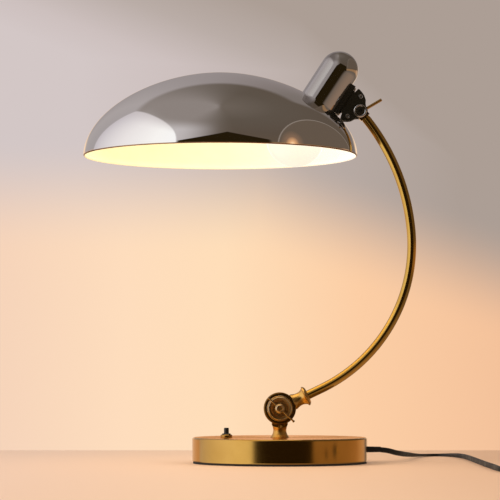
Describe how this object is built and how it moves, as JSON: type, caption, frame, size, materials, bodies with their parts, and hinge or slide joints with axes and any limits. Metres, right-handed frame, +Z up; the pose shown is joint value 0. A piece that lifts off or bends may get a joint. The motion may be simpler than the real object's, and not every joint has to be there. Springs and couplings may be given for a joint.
{
  "type": "desk lamp",
  "caption": "Desk lamp with a weighted round base, a clamped swivel knuckle, a bowed brass arm, a lockable tilt bracket, a wide mirror-finished dome shade and a flat cord",
  "frame": {"origin": "centre of the base's underside, on the table", "axes": "+Z up, +X from the base towards the bow of the arm, +Y away from the viewer; the lamp's plane of symmetry is Y = 0"},
  "size_m": [0.5164, 0.4371, 0.4213],
  "materials": {
    "pad_felt": "felt",
    "plate_steel": "zinc plated",
    "weight_iron": "as cast",
    "fastener_steel": "plated",
    "cover_brass": "fine turned",
    "tube_brass": "polished",
    "fitting_brass": "satin, lacquered",
    "washer_fibre": "plain",
    "switch_black": "satin",
    "lead_cream": "plain",
    "cord_black": "satin",
    "plug_black": "moulded",
    "blade_brass": "plain",
    "clamp_brass": "turned",
    "bar_brass": "drawn",
    "shade_chrome": "mirror outside, white enamel inside",
    "housing_chrome": "mirror",
    "ring_white": "satin enamel",
    "holder_ceramic": "glazed",
    "contact_brass": "plain",
    "cap_aluminium": "rolled thread",
    "tip_glass": "fused",
    "bulb_opal": "opal, lit",
    "bracket_black": "gloss",
    "bolt_black": "black oxide",
    "ring_chrome": "polished",
    "lever_brass": "turned"
  },
  "bodies": {
    "base": {"felt_pad": "pad_felt", "base_plate": "plate_steel", "base_weight": "weight_iron", "base_screws": "fastener_steel", "base_cover": "cover_brass", "foot_nipple": "fitting_brass", "foot_washer": "fastener_steel", "foot_nut": "fastener_steel", "lower_knuckle": "fitting_brass", "friction_washer": "washer_fibre", "knuckle_nut": "fitting_brass", "switch_body": "switch_black", "switch_nut": "fitting_brass", "switch_collar": "switch_black", "base_lead": "lead_cream", "cord_relief": "cord_black", "power_cord": "cord_black", "cord_coil": "cord_black", "cord_tie": "plug_black", "plug_body": "plug_black", "plug_blades": "blade_brass"},
    "button": {"switch_button": "switch_black"},
    "arm": {"arm_knuckle": "fitting_brass", "arm_tube": "tube_brass", "arm_lead": "lead_cream", "arm_tip": "tube_brass"},
    "clamp": {"clamp_screw": "clamp_brass", "clamp_disc": "clamp_brass", "tommy_bar": "bar_brass"},
    "head": {"shade": "shade_chrome", "socket_housing": "housing_chrome", "housing_ring": "ring_white", "lampholder": "holder_ceramic", "lampholder_shell": "contact_brass", "lampholder_contact": "contact_brass", "bulb_cap": "cap_aluminium", "bulb_tip": "tip_glass", "bulb_glass": "bulb_opal", "head_lead": "lead_cream", "bracket_saddle": "bracket_black", "bracket_front": "bracket_black", "bracket_rear": "bracket_black", "bracket_screws": "fastener_steel", "saddle_screws": "fastener_steel", "pivot_bolt": "bolt_black", "pivot_ring": "ring_chrome"},
    "lever": {"lever_nut": "lever_brass", "lever_rod": "lever_brass"}
  },
  "joints": [
    {"name": "arm_tilt", "type": "hinge", "parent": "base", "child": "arm", "pos_m": [0, 0, 0.0555], "axis": [0, -1, 0], "range_deg": [-30, 30]},
    {"name": "shade_tilt", "type": "hinge", "parent": "arm", "child": "head", "pos_m": [0.08241, 0, 0.35928], "axis": [0, -1, 0], "range_deg": [-30, 25]},
    {"name": "clamp_turn", "type": "hinge", "parent": "base", "child": "clamp", "pos_m": [0, 0, 0.0555], "axis": [0, -1, 0], "range_deg": [0, 270]},
    {"name": "lever_turn", "type": "hinge", "parent": "head", "child": "lever", "pos_m": [0.08241, 0, 0.35928], "axis": [0, -1, 0], "range_deg": [-90, 45]},
    {"name": "switch_press", "type": "slide", "parent": "base", "child": "button", "axis": [0, 0, -1], "range_m": [0, 0.0025], "stiffness_N_per_m": 1200}
  ]
}
